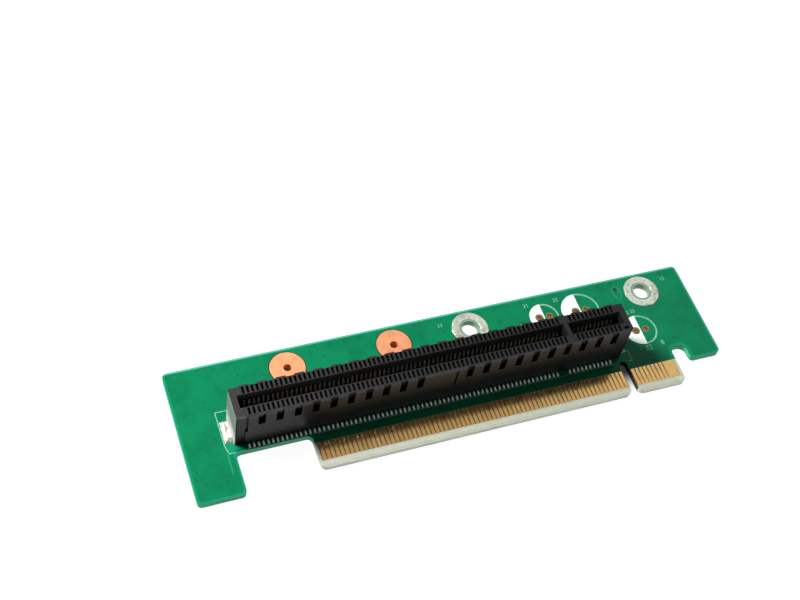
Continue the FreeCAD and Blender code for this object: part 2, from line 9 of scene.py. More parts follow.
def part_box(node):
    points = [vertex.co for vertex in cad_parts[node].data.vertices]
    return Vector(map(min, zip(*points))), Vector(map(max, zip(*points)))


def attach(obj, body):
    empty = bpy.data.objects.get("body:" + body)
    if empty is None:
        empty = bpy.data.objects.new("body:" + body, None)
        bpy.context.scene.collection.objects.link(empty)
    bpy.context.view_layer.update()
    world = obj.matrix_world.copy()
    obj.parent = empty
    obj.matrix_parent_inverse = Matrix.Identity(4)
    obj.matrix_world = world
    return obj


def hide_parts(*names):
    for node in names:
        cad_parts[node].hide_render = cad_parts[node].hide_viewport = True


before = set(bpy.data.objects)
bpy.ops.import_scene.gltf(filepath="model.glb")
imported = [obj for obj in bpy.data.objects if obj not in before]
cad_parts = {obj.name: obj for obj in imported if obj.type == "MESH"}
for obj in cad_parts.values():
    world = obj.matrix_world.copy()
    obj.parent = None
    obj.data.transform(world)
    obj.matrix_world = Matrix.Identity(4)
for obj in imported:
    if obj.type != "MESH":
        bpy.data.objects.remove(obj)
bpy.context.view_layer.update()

MM = 0.001
random.seed(7)


def mm(v):
    return [c / MM for c in v]


# ------------------------------------------------------------------ places, read from the frame, in millimetres
def node_box(name):
    low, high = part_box(name)
    return mm(low), mm(high)


board_low, board_high = node_box("circuit_board")
house_low, house_high = node_box("slot_housing")
TOP = board_high[2]                                 # the board's upper face
XL, XR, YB, YT = board_low[0], board_high[0], board_low[1], board_high[1]


def middle(name):
    low, high = node_box(name)
    return [(low[i] + high[i]) / 2 for i in range(3)]


def half_width(name):
    low, high = node_box(name)
    return (high[0] - low[0]) / 2


long_low, long_high = node_box("edge_contacts_top_long")
short_low, short_high = node_box("edge_contacts_top_short")
power_low, power_high = node_box("edge_power_pad")
KEY_X = (long_high[0] + short_low[0]) / 2           # key notch centre
FINGER_TOP = long_high[1]
MASK_LINE = FINGER_TOP + 0.08                       # the solder mask ends here on the tab
FINGER_W = 0.70
LEG_X = XL + 10.20
GAP_Y = YB + 9.50
TAB_L, TAB_R = long_low[0] - 0.75, power_high[0] + 0.77
TIP_Y = long_low[1] - 1.66
NOTCH_TOP = TIP_Y + 8.25
EAR_L, EAR_Y = 54.00, YB + 6.72
U_TOP = -5.20

tail_front_low, tail_front_high = node_box("slot_contacts_front_long")
tail_rear_low, tail_rear_high = node_box("slot_contacts_rear_long")
tail_short_low, tail_short_high = node_box("slot_contacts_front_short")
SLOT_Y = (tail_front_low[1] + tail_rear_high[1]) / 2
LONG_X = [tail_front_low[0] + 0.21 + i for i in range(71)]
SHORT_X = [tail_short_low[0] + 0.21 + i for i in range(11)]
FINGER_X = [long_low[0] + 0.35 + i for i in range(71)] + [short_low[0] + 0.35 + i for i in range(8)]
LAND_Z = TOP + 0.03


# ------------------------------------------------------------------ node materials
class Mat:
    """A Principled material with small helpers for its texture nodes."""

    def __init__(self, name, **values):
        self.m = bpy.data.materials.new(name)
        self.m.use_nodes = True
        self.t = self.m.node_tree
        self.t.nodes.clear()
        self.out = self.t.nodes.new("ShaderNodeOutputMaterial")
        self.b = self.t.nodes.new("ShaderNodeBsdfPrincipled")
        self.t.links.new(self.b.outputs[0], self.out.inputs[0])
        for k, v in values.items():
            self.b.inputs[k.replace("_", " ")].default_value = v
        self._p = None

    def node(self, kind, **props):
        n = self.t.nodes.new(kind)
        for k, v in props.items():
            setattr(n, k, v)
        return n

    def put(self, socket, v):
        if hasattr(v, "is_output"):
            self.t.links.new(v, socket)
        else:
            socket.default_value = v

    @property
    def pos(self):
        if self._p is None:
            self._p = self.node("ShaderNodeTexCoord").outputs["Object"]
        return self._p

    def xyz(self, v=None):
        n = self.node("ShaderNodeSeparateXYZ")
        self.put(n.inputs[0], v if v is not None else self.pos)
        return n.outputs

    def normal(self):
        return self.xyz(self.node("ShaderNodeNewGeometry").outputs["Normal"])

    def math(self, op, a, b=0.0, c=0.0, clamp=False):
        n = self.node("ShaderNodeMath", operation=op, use_clamp=clamp)
        for i, v in enumerate((a, b, c)):
            if i < len(n.inputs):
                self.put(n.inputs[i], v)
        return n.outputs[0]

    def noise(self, scale, detail=2.0, rough=0.5, stretch=None, distortion=0.0):
        n = self.node("ShaderNodeTexNoise")
        n.inputs["Scale"].default_value = scale
        n.inputs["Detail"].default_value = detail
        n.inputs["Roughness"].default_value = rough
        n.inputs["Distortion"].default_value = distortion
        if stretch:
            mp = self.node("ShaderNodeMapping")
            self.put(mp.inputs["Vector"], self.pos)
            mp.inputs["Scale"].default_value = stretch
            self.put(n.inputs["Vector"], mp.outputs[0])
        else:
            self.put(n.inputs["Vector"], self.pos)
        return n.outputs["Fac"]

    def ramp(self, fac, low, high, to_low=0.0, to_high=1.0, smooth=True):
        n = self.node("ShaderNodeMapRange", interpolation_type="SMOOTHSTEP" if smooth else "LINEAR")
        self.put(n.inputs["Value"], fac)
        for k, v in (("From Min", low), ("From Max", high), ("To Min", to_low), ("To Max", to_high)):
            n.inputs[k].default_value = v
        return n.outputs["Result"]

    def mix(self, fac, a, b):
        n = self.node("ShaderNodeMix", data_type="RGBA")
        self.put(n.inputs["Factor"], fac)
        for i, v in ((6, a), (7, b)):
            self.put(n.inputs[i], tuple(v) + (1.0,) if isinstance(v, (tuple, list)) and len(v) == 3 else v)
        return n.outputs[2]

    def bump(self, height, strength=0.3, distance=0.00002, normal=None):
        n = self.node("ShaderNodeBump")
        n.inputs["Strength"].default_value = strength
        n.inputs["Distance"].default_value = distance
        self.put(n.inputs["Height"], height)
        if normal is not None:
            self.put(n.inputs["Normal"], normal)
        return n.outputs[0]

    def set(self, name, v):
        self.put(self.b.inputs[name], v)
        return self


def rgb(r, g, b):
    """A screen colour, 0 to 255, as linear light."""
    return tuple((c / 255 / 12.92) if c / 255 <= 0.04045 else ((c / 255 + 0.055) / 1.055) ** 2.4 for c in (r, g, b))


MASK_DARK = (0.0010, 0.165, 0.068)
MASK_DARKER = (0.0006, 0.136, 0.056)
MINT = (0.0035, 0.215, 0.108)
MINT_DEEP = (0.0025, 0.190, 0.092)
MINT_PALE = (0.060, 0.365, 0.240)
LAMINATE = (0.560, 0.590, 0.480)
LAMINATE_EDGE = (0.690, 0.715, 0.625)


def mask_material(name, base, shade, rough=0.22):
    """Solder mask: cured film with a slight flow, pinholes and cloudy thickness."""
    m = Mat(name, Roughness=rough, IOR=1.5)
    m.b.inputs["Specular IOR Level"].default_value = 0.12
    cloud = m.noise(210, 3, 0.6)
    fine = m.noise(1500, 2, 0.6)
    c = m.mix(m.ramp(cloud, 0.36, 0.68), base, shade)
    c = m.mix(m.math("MULTIPLY", m.ramp(fine, 0.55, 0.8), 0.22), c, tuple(min(1, v * 1.35 + 0.003) for v in base))
    m.set("Base Color", c)
    m.set("Roughness", m.ramp(m.noise(700, 3, 0.6), 0.3, 0.75, rough - 0.04, rough + 0.10))
    h = m.math("ADD", m.noise(420, 2, 0.5), m.math("MULTIPLY", m.noise(2600, 2, 0.5), 0.25))
    m.set("Normal", m.bump(h, 0.30, 0.00004))
    return m


def board_material():
    """The whole laminate: masked faces, bare strip round the edge contacts, cut walls with their glass layers, drilled walls."""
    m = mask_material("board_mask", MINT, MINT_DEEP, 0.24)
    x, y, z = m.xyz()[0:3]
    nx, ny, nz = m.normal()[0:3]
    masked = m.b.inputs["Base Color"].links[0].from_socket
    # underside: darker field, lighter along every cut edge
    ax = m.math("ABSOLUTE", x)

    def inside_box(x0, x1, y0, y1):
        """Distance to a box in the board's plane, negative inside it."""
        dx = m.math("SUBTRACT", m.math("ABSOLUTE", m.math("SUBTRACT", x, (x0 + x1) / 2 * MM)), (x1 - x0) / 2 * MM)
        dy = m.math("SUBTRACT", m.math("ABSOLUTE", m.math("SUBTRACT", y, (y0 + y1) / 2 * MM)), (y1 - y0) / 2 * MM)
        out = m.math("SQRT", m.math("ADD", m.math("POWER", m.math("MAXIMUM", dx, 0.0), 2.0), m.math("POWER", m.math("MAXIMUM", dy, 0.0), 2.0)))
        return m.math("ADD", out, m.math("MINIMUM", m.math("MAXIMUM", dx, dy), 0.0))

    edge = m.math("SUBTRACT", m.math("SUBTRACT", XR * MM, ax), 0.0)
    edge = m.math("MINIMUM", edge, m.math("SUBTRACT", YT * MM, y))
    for box, grow in (((LEG_X, TAB_L, -40, GAP_Y), 0.0), ((-80, LEG_X, -40, YB), 0.0), ((EAR_L, 80, -40, EAR_Y), 0.0), ((TAB_R, EAR_L, -40, U_TOP), 0.45), ((KEY_X - 0.95, KEY_X + 0.95, -40, NOTCH_TOP), -0.15)):
        edge = m.math("MINIMUM", edge, m.math("SUBTRACT", inside_box(*box), grow * MM))
    field = m.ramp(edge, 0.00045, 0.00055)
    below = m.ramp(z, 0.0001, 0.0003, 1.0, 0.0)
    under = m.mix(field, MINT, m.mix(m.ramp(m.noise(210, 3, 0.6), 0.36, 0.68), MASK_DARK, MASK_DARKER))
    c = m.mix(below, masked, under)
    # painted highlight: the mask is painted paler along the rear edge and, less so, along the right end, where the cut
    # edge catches the light
    rear_edge_highlight = m.math("MAXIMUM", m.ramp(y, (YT - 0.50) * MM, (YT - 0.38) * MM), m.ramp(x, (XR - 0.50) * MM, (XR - 0.38) * MM, 0.0, 0.28))
    c = m.mix(m.math("MULTIPLY", rear_edge_highlight, m.math("SUBTRACT", 1.0, below)), c, MINT_PALE)
    # bare laminate of the tab: faint weave under resin
    weave = m.math("ADD", m.math("SINE", m.math("MULTIPLY", x, 9500.0)), m.math("SINE", m.math("MULTIPLY", y, 9500.0)))
    bare_c = m.mix(m.ramp(m.math("ADD", m.math("MULTIPLY", weave, 0.04), m.noise(600, 3, 0.6)), 0.25, 0.8), LAMINATE, tuple(v * 0.88 for v in LAMINATE))
    on_tab = m.math("MULTIPLY", m.math("LESS_THAN", y, MASK_LINE * MM), m.math("MULTIPLY", m.math("GREATER_THAN", x, (TAB_L - 0.5) * MM), m.math("LESS_THAN", x, (TAB_R + 0.5) * MM)))
    # between the contacts the resin is stained brown
    rows = m.math("MULTIPLY", m.math("LESS_THAN", y, (FINGER_TOP + 0.02) * MM), m.math("GREATER_THAN", y, (long_low[1] + 0.02) * MM))
    in_rows = m.math("ADD", m.math("MULTIPLY", m.math("GREATER_THAN", x, (long_low[0] - 0.3) * MM), m.math("LESS_THAN", x, (long_high[0] + 0.3) * MM)),
                     m.math("MULTIPLY", m.math("GREATER_THAN", x, (short_low[0] - 0.3) * MM), m.math("LESS_THAN", x, (power_high[0] + 0.1) * MM)))
    gap_c = m.mix(m.ramp(m.noise(1200, 3, 0.6), 0.3, 0.7), rgb(148, 112, 66), rgb(120, 88, 50))
    # painted light: the gaps are painted lighter towards the right end, where the housing's shadow ends
    gap_c = m.mix(m.ramp(x, 0.022, 0.039), gap_c, m.mix(m.ramp(m.noise(1200, 3, 0.6), 0.3, 0.7), rgb(190, 152, 98), rgb(166, 130, 80)))
    bare_c = m.mix(m.math("MULTIPLY", rows, in_rows), bare_c, gap_c)
    c = m.mix(on_tab, c, bare_c)
    # cut walls: resin-rich layers run level round the board
    wall = m.math("LESS_THAN", m.math("ABSOLUTE", nz), 0.5)
    layer = m.noise(900, 3, 0.7, stretch=(0.25, 0.25, 3.2))
    wall_c = m.mix(m.ramp(layer, 0.35, 0.65), LAMINATE_EDGE, tuple(v * 0.72 for v in LAMINATE_EDGE))
    wall_green = m.mix(m.ramp(layer, 0.35, 0.65), rgb(74, 166, 128), rgb(52, 140, 104))
    for cx, cy in (middle("mounting_ring_left")[:2], middle("mounting_ring_right")[:2]):
        far = m.math("SQRT", m.math("ADD", m.math("POWER", m.math("SUBTRACT", x, cx * MM), 2.0), m.math("POWER", m.math("SUBTRACT", y, cy * MM), 2.0)))
        wall_green = m.mix(m.math("LESS_THAN", far, 0.0026), wall_green, m.mix(m.ramp(layer, 0.35, 0.65), rgb(146, 164, 142), rgb(108, 124, 104)))
    wall_c = m.mix(on_tab, wall_green, wall_c)
    # cut walls of the key notch are painted dark: painted shade inside the notch
    key_notch_shade = m.math("LESS_THAN", m.math("ABSOLUTE", m.math("SUBTRACT", x, KEY_X * MM)), 0.00097)
    key_notch_shade = m.math("MULTIPLY", key_notch_shade, m.math("LESS_THAN", y, (NOTCH_TOP + 0.3) * MM))
    wall_c = m.mix(key_notch_shade, wall_c, rgb(58, 54, 40))
    c = m.mix(wall, c, wall_c)
    m.set("Base Color", c)
    rough = m.b.inputs["Roughness"].links[0].from_socket
    r = m.math("MAXIMUM", rough, m.math("MULTIPLY", m.math("MAXIMUM", wall, on_tab), 0.55))
    m.set("Roughness", r)
    return m


def metal(name, base, dark, rough, scale=500, bump=0.25, metallic=1.0, tarnish=0.45, distance=0.00003):
    m = Mat(name, Metallic=metallic, Roughness=rough)
    patch = m.noise(scale, 4, 0.6)
    m.set("Base Color", m.mix(m.math("MULTIPLY", m.ramp(patch, 0.42, 0.78), tarnish), base, dark))
    m.set("Roughness", m.ramp(m.noise(scale * 2.3, 3, 0.6), 0.25, 0.8, max(0.05, rough - 0.07), rough + 0.12))
    m.set("Normal", m.bump(m.noise(scale * 1.7, 3, 0.55), bump, distance))
    return m


def gold_material():
    m = metal("edge_gold", (0.84, 0.545, 0.205), (0.60, 0.36, 0.11), 0.14, 500, 0.06, tarnish=0.6)
    # wiping marks run along the contacts
    streak = m.noise(900, 2, 0.6, stretch=(3.0, 0.25, 1.0))
    m.set("Roughness", m.ramp(streak, 0.3, 0.75, 0.12, 0.19))
    return m


def housing_material():
    """Glass-filled black moulding: fine texture, faint flow marks along the length; a painted highlight on the top at
    the left end, and greyer end faces painted as a reflection, palest low down.
    """
    m = Mat("housing_plastic", Roughness=0.32, IOR=1.52)
    flow = m.noise(260, 4, 0.6, stretch=(0.22, 1.0, 1.0))
    speck = m.noise(5200, 2, 0.7)
    c = m.mix(m.ramp(flow, 0.3, 0.75), (0.0042, 0.0041, 0.0045), (0.0085, 0.0082, 0.0088))
    on_top = m.ramp(m.xyz()[2], (house_high[2] - 1.20) * MM, (house_high[2] - 0.40) * MM)
    # painted highlight: the top is painted lighter towards the left end, nearest the key light
    left_top_highlight = m.math("MULTIPLY", m.ramp(m.xyz()[0], house_low[0] * MM, 0.012, 1.0, 0.0), m.math("ADD", m.math("MULTIPLY", on_top, 0.85), 0.02))
    c = m.mix(left_top_highlight, c, (0.0215, 0.0212, 0.0222))
    left = m.math("MULTIPLY", m.ramp(m.xyz()[0], -0.038, -0.029, 1.0, 0.0), m.math("SUBTRACT", 1.0, on_top))
    m.set("Specular IOR Level", m.math("SUBTRACT", 0.42, m.math("MULTIPLY", left, 0.31)))
    c = m.mix(m.math("MULTIPLY", m.ramp(speck, 0.62, 0.8), 0.5), c, (0.022, 0.022, 0.023))
    x, y, z = m.xyz()[0:3]
    nx, ny, nz = m.normal()[0:3]
    # painted reflection: the end faces are painted grey, and their lower part pale where they would mirror the solder
    end = m.math("MULTIPLY", m.ramp(m.math("ABSOLUTE", nx), 0.45, 0.75),
                 m.math("MAXIMUM", m.math("LESS_THAN", x, (house_low[0] + 0.20) * MM), m.math("GREATER_THAN", x, (house_high[0] - 0.20) * MM)))
    low_end_reflection = m.ramp(z, (TOP + 1.0) * MM, (TOP + 6.0) * MM, 1.0, 0.0)
    end_reflection_c = m.mix(m.ramp(flow, 0.3, 0.7), (0.138, 0.166, 0.150), (0.112, 0.136, 0.124))
    end_reflection_c = m.mix(low_end_reflection, end_reflection_c, (0.490, 0.490, 0.430))
    c = m.mix(end, c, end_reflection_c)
    m.set("Base Color", c)
    r = m.ramp(m.noise(1300, 3, 0.6), 0.3, 0.75, 0.30, 0.42)
    m.set("Roughness", m.math("ADD", r, m.math("MULTIPLY", end, 0.25)))
    h = m.math("ADD", m.noise(3800, 2, 0.6), m.math("MULTIPLY", m.noise(900, 2, 0.5), 0.5))
    m.set("Normal", m.bump(h, 0.35, 0.00002))
    return m


def contact_material():
    """Tinned at the tail, gold flash at the nose, whose colour is darkened to a dull brown as painted shade deep in the
    slot.
    """
    m = metal("contact_strip", (0.80, 0.80, 0.77), (0.55, 0.54, 0.50), 0.34, 900, 0.05, metallic=0.75, distance=0.00001)
    x, y, z = m.xyz()[0:3]
    up = m.ramp(z, (TOP + 3.2) * MM, (TOP + 4.2) * MM)
    patch = m.noise(900, 4, 0.6)
    tin = m.mix(m.math("MULTIPLY", m.ramp(patch, 0.42, 0.78), 0.45), (0.82, 0.83, 0.80), (0.52, 0.52, 0.49))
    # painted shade: the nose colour is darkened for its place deep in the slot
    gold = m.mix(m.ramp(patch, 0.42, 0.78), (0.40, 0.35, 0.29), (0.34, 0.28, 0.22))
    m.set("Base Color", m.mix(up, tin, gold))
    return m


def silk_material():
    m = Mat("silkscreen_ink", Roughness=0.55)
    g = m.noise(2400, 3, 0.65)
    m.set("Base Color", m.mix(m.ramp(g, 0.30, 0.62), (0.62, 0.71, 0.67), (0.80, 0.86, 0.84)))
    m.set("Normal", m.bump(m.noise(5000, 2, 0.6), 0.3, 0.00001))
    return m


def thin_silk_material():
    m = Mat("silkscreen_line", Roughness=0.55)
    g = m.noise(2400, 3, 0.65)
    m.set("Base Color", m.mix(m.ramp(g, 0.30, 0.62), (0.08, 0.31, 0.20), (0.19, 0.45, 0.33)))
    m.set("Normal", m.bump(m.noise(5000, 2, 0.6), 0.3, 0.00001))
    return m


M_BOARD = board_material()
M_FIELD = mask_material("mask_over_copper", MASK_DARK, MASK_DARKER)
M_VIA = mask_material("mask_in_via", (0.0009, 0.128, 0.054), (0.0006, 0.108, 0.046), 0.30)
M_RIM = mask_material("mask_rim", (0.0030, 0.060, 0.026), (0.0020, 0.045, 0.020), 0.35)
M_TESTVIA = metal("test_via", (0.020, 0.075, 0.045), (0.010, 0.040, 0.024), 0.40, 900, 0.3, metallic=0.3)
M_GOLD = gold_material()
M_HOUSE = housing_material()
M_CONTACT = contact_material()
M_TIN = metal("tinned_land", (0.80, 0.80, 0.76), (0.50, 0.50, 0.46), 0.25, 800, 0.4)
M_CLIP = metal("clip_metal", (0.80, 0.79, 0.75), (0.58, 0.56, 0.50), 0.32, 600, 0.3)
M_COPPER = metal("copper_foil", (0.84, 0.365, 0.175), (0.74, 0.300, 0.140), 0.50, 420, 0.25, metallic=0.75)
M_PADCOPPER = metal("pad_copper", (0.50, 0.23, 0.105), (0.30, 0.125, 0.055), 0.40, 900, 0.3)
M_SOLDER = metal("solder", (0.90, 0.92, 0.88), (0.72, 0.74, 0.70), 0.22, 380, 0.2, distance=0.00006)
M_TAIL = metal("tail_solder", (0.90, 1.0, 0.96), (0.84, 0.94, 0.90), 0.24, 600, 0.05, distance=0.00001)
# painted shade: a darker copy of the solder for the right hold-down, which lies in the housing's shadow
M_SHADED_SOLDER = metal("solder_painted_shade", (0.30, 0.31, 0.27), (0.20, 0.20, 0.17), 0.42, 300, 0.25, metallic=0.35, distance=0.00006)
M_CREAM = metal("solder_mound", (0.50, 0.495, 0.43), (0.39, 0.375, 0.31), 0.42, 300, 0.25, metallic=0.35, distance=0.00006)
M_RINGTIN = metal("ring_solder", (0.80, 0.87, 0.72), (0.46, 0.39, 0.31), 0.24, 330, 0.35, metallic=0.8, tarnish=0.8, distance=0.0001)
M_SILK = silk_material()
M_LINE = thin_silk_material()
M_FAINT = mask_material("faint_print", (0.020, 0.230, 0.120), (0.012, 0.200, 0.100), 0.35)

# ------------------------------------------------------------------ the carried-over solids get their finish
LOOK = {
    "circuit_board": M_BOARD,
    "slot_housing": M_HOUSE,
    "copper_disc_left": M_COPPER, "copper_disc_right": M_COPPER,
    "capacitor_pads_a": M_PADCOPPER, "capacitor_pads_b": M_PADCOPPER, "capacitor_pads_c": M_PADCOPPER,
    "test_via": M_TESTVIA,
    "hold_down_left": M_CLIP, "hold_down_right": M_CLIP,
    "hold_down_land_left": M_TIN, "hold_down_land_right": M_TIN,
    "solder_lands_front": M_TIN, "solder_lands_rear": M_TIN,
    "mounting_ring_left": M_RINGTIN, "mounting_ring_right": M_RINGTIN,
}
for name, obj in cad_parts.items():
    m = LOOK.get(name)
    if m is None:
        m = M_GOLD if name.startswith("edge_") else M_CONTACT
    obj.data.materials.clear()
    obj.data.materials.append(m.m)


# ------------------------------------------------------------------ mesh helpers, millimetres in, metres out
def mesh(name, verts, faces, mat, smooth=False):
    me = bpy.data.meshes.new(name)
    me.from_pydata([(v[0] * MM, v[1] * MM, v[2] * MM) for v in verts], [], faces)
    me.validate()
    me.update()
    if smooth:
        me.polygons.foreach_set("use_smooth", [True] * len(me.polygons))
    me.materials.append(mat.m)
    ob = bpy.data.objects.new(name, me)
    bpy.context.scene.collection.objects.link(ob)
    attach(ob, "root")
    return ob


def arc(cx, cy, r, a0, a1, n):
    return [(cx + r * math.cos(math.radians(a0 + (a1 - a0) * i / n)), cy + r * math.sin(math.radians(a0 + (a1 - a0) * i / n))) for i in range(n + 1)]


def circle(cx, cy, r, n=40):
    return [(cx + r * math.cos(2 * math.pi * i / n), cy + r * math.sin(2 * math.pi * i / n)) for i in range(n)]


def rounded(points, steps=5):
    """Polygon from (x, y, radius) corners, each rounded."""
    out = []
    n = len(points)
    for i, (x, y, r) in enumerate(points):
        if r <= 0:
            out.append((x, y))
            continue
        p0, p1 = Vector(points[i - 1][:2]), Vector(points[(i + 1) % n][:2])
        c = Vector((x, y))
        u, v = (p0 - c).normalized(), (p1 - c).normalized()
        ang = u.angle(v)
        d = r / math.tan(ang / 2)
        a, b = c + u * d, c + v * d
        centre = c + (u + v).normalized() * (r / math.sin(ang / 2))
        a0 = math.atan2(a.y - centre.y, a.x - centre.x)
        a1 = math.atan2(b.y - centre.y, b.x - centre.x)
        while a1 - a0 > math.pi:
            a1 -= 2 * math.pi
        while a1 - a0 < -math.pi:
            a1 += 2 * math.pi
        for k in range(steps + 1):
            t = a0 + (a1 - a0) * k / steps
            out.append((centre.x + r * math.cos(t), centre.y + r * math.sin(t)))
    return out


class Plates:
    """Collects flat plates (outline with holes, from z0 to z1) into one mesh."""

    def __init__(self):
        self.v, self.f = [], []

    def plate(self, outer, holes, z0, z1, bevel=0.0):
        loops = [outer] + list(holes)
        flat = [[Vector((x, y, 0)) for x, y in lp] for lp in loops]
        tris = tessellate_polygon(flat)
        start = len(self.v)
        pts = [p for lp in loops for p in lp]
        n = len(pts)
        self.v += [(x, y, z1) for x, y in pts]
        self.v += [(x, y, z0) for x, y in pts]
        for a, b, c in tris:
            pa, pb, pc = pts[a], pts[b], pts[c]
            s = (pb[0] - pa[0]) * (pc[1] - pa[1]) - (pb[1] - pa[1]) * (pc[0] - pa[0])
            if abs(s) < 1e-9:
                continue
            if s < 0:
                b, c = c, b
            self.f.append((start + a, start + b, start + c))
            self.f.append((start + n + c, start + n + b, start + n + a))
        at = 0
        for k, lp in enumerate(loops):
            m_ = len(lp)
            area = sum(lp[i][0] * lp[(i + 1) % m_][1] - lp[(i + 1) % m_][0] * lp[i][1] for i in range(m_))
            forward = (area > 0) == (k == 0)
            for i in range(m_):
                a, b = at + i, at + (i + 1) % m_
                if not forward:
                    a, b = b, a
                self.f.append((start + n + a, start + n + b, start + b, start + a))
            at += m_
        return self

    def bar(self, x0, y0, x1, y1, w, z0, z1):
        """A straight line of width w with square ends."""
        d = Vector((x1 - x0, y1 - y0)).normalized()
        nrm = Vector((-d.y, d.x)) * (w / 2)
        return self.plate([(x0 - nrm.x, y0 - nrm.y), (x1 - nrm.x, y1 - nrm.y), (x1 + nrm.x, y1 + nrm.y), (x0 + nrm.x, y0 + nrm.y)], [], z0, z1)

    def track(self, pts, w, z0, z1):
        for a, b in zip(pts, pts[1:]):
            self.bar(a[0], a[1], b[0], b[1], w, z0, z1)
        return self

    def ring(self, cx, cy, r0, r1, z0, z1, n=48):
        return self.plate(circle(cx, cy, r1, n), [circle(cx, cy, r0, n)], z0, z1)

    def make(self, name, mat, smooth=False):
        return mesh(name, self.v, self.f, mat, smooth)


# ------------------------------------------------------------------ copper pour seen through the mask
Z0 = TOP - 0.005
ZF = TOP + 0.022            # the pour stands a little proud of bare laminate under its mask
IN = 0.50
discs = [middle("copper_disc_left"), middle("copper_disc_right")]
disc_r = half_width("copper_disc_left")
rings = [middle("mounting_ring_left"), middle("mounting_ring_right")]
ring_r = half_width("mounting_ring_left")
caps = [middle("capacitor_pads_" + c) for c in "abc"]
CAP_R = [3.5, 4.6, 3.9]
cap_pads = [(c[0] + s * 1.25, c[1]) for c in caps for s in (-1, 1)]
via = middle("test_via")

pour = [(XL + IN, YB + IN, 0.7), (LEG_X - IN, YB + IN, 0.7), (LEG_X - IN, GAP_Y + IN, 1.0), (TAB_L + 0.45, GAP_Y + IN, 1.0), (TAB_L + 0.45, MASK_LINE + 0.03, 0.0),
        (KEY_X - 1.28, MASK_LINE + 0.03, 0.0)]
pour += [(x, y, 0.0) for x, y in arc(KEY_X, NOTCH_TOP - 0.95, 1.28, 180, 0, 14)]
pour += [(KEY_X + 1.28, MASK_LINE + 0.03, 0.0), (TAB_R - 1.05, MASK_LINE + 0.03, 0.0)]
pour += [(x, y, 0.0) for x, y in arc((TAB_R + EAR_L) / 2, U_TOP - 1.9, 2.85, 180, 22, 20)]
pour += [(EAR_L + 0.75, EAR_Y + IN, 0.3), (XR - IN, EAR_Y + IN, 0.7), (XR - IN, YT - IN, 0.7), (XL + IN, YT - IN, 0.7)]
pour = rounded(pour, 6)
holes = [circle(c[0], c[1], disc_r + 0.16, 64) for c in discs] + [circle(c[0], c[1], ring_r + 0.10, 64) for c in rings]
holes += [circle(x, y, 1.02, 28) for x, y in cap_pads] + [circle(via[0], via[1], 0.72, 24)]
# each hold-down's land sits in an opening of the mask
for side in ("left", "right"):
    low, high = node_box("hold_down_land_" + side)
    y_low = SLOT_Y - 4.75 if side == "left" else low[1] - 0.12
    holes.append([(low[0] - 0.02, y_low), (high[0] + 0.12, y_low), (high[0] + 0.12, high[1] + 0.12), (low[0] - 0.02, high[1] + 0.12)])
field = Plates()
field.plate(pour, holes, Z0, ZF)
field.make("mask_over_pour", M_FIELD)

# dark rim where the mask overlaps each copper disc
rim = Plates()
for c in discs:
    rim.ring(c[0], c[1], disc_r - 0.05, disc_r + 0.17, TOP + 0.036, TOP + 0.056, 72)
rim.make("disc_mask_rims", M_RIM)

# ------------------------------------------------------------------ tented vias: stitching along the edges and scattered ones
spots = [(-60.76, 11.7), (-57.48, 10.72), (-54.55, 6.75), (-59.33, 4.53), (-51.54, 10.23), (-56.35, -0.37), (-54.44, -2.0), (-57.82, -3.34), (-54.33, -5.79),
         (-54.51, -7.62), (-60.0, -8.67), (-54.61, -12.15), (-58.85, -11.69), (-56.46, -12.92), (-46.11, 11.67), (-41.02, 10.68), (-29.31, 12.91), (-26.62, 11.77), (-21.0, 11.2),
         (-17.0, 12.3), (-4.4, 12.0), (1.0, 11.1), (-1.5, 8.2), (14.2, 10.6), (17.4, 12.2), (19.3, 9.3), (38.9, 11.8), (41.5, 7.1), (58.8, -1.2), (52.4, -2.9)]
spots += [(-60.7 + 3.27 * i, 14.5 + random.uniform(-0.06, 0.06)) for i in range(38)
          if min(abs(-60.7 + 3.27 * i - c[0]) for c in discs + rings + [caps[1]]) > 4.9]
dots = Plates()
for x, y in spots:
    n = 14
    base = len(dots.v)
    ring_pts = circle(x, y, 0.34, n)
    inner = circle(x, y, 0.20, n)
    z_rim = ZF + 0.014
    dots.v += [(a, b, ZF - 0.002) for a, b in ring_pts] + [(x + (a - x) * 0.86, y + (b - y) * 0.86, z_rim) for a, b in ring_pts] + [(a, b, ZF + 0.004) for a, b in inner] + [(x, y, ZF + 0.001)]
    for i in range(n):
        j = (i + 1) % n
        dots.f.append((base + i, base + j, base + n + j, base + n + i))
        dots.f.append((base + n + i, base + n + j, base + 2 * n + j, base + 2 * n + i))
        dots.f.append((base + 2 * n + i, base + 2 * n + j, base + 3 * n))
dots.make("tented_vias", M_VIA, True)

# ------------------------------------------------------------------ short tracks under the mask from the edge contacts and the slot's lands
tracks = Plates()
for i, x in enumerate(FINGER_X):
    reach = 0.75 if i % 2 else 1.15
    tracks.bar(x, MASK_LINE + 0.02, x, MASK_LINE + reach, 0.24, ZF - 0.004, ZF + 0.013)
    tracks.plate(circle(x, MASK_LINE + reach + 0.1, 0.27, 12), [], ZF - 0.004, ZF + 0.015)
for i, x in enumerate(LONG_X + SHORT_X):
    reach = 1.0 if i % 2 else 1.75
    y = SLOT_Y + 4.86
    tracks.bar(x, y, x, y + reach, 0.22, ZF - 0.004, ZF + 0.013)
    tracks.plate(circle(x, y + reach + 0.1, 0.27, 12), [], ZF - 0.004, ZF + 0.015)
tracks.make("masked_tracks", M_FIELD)

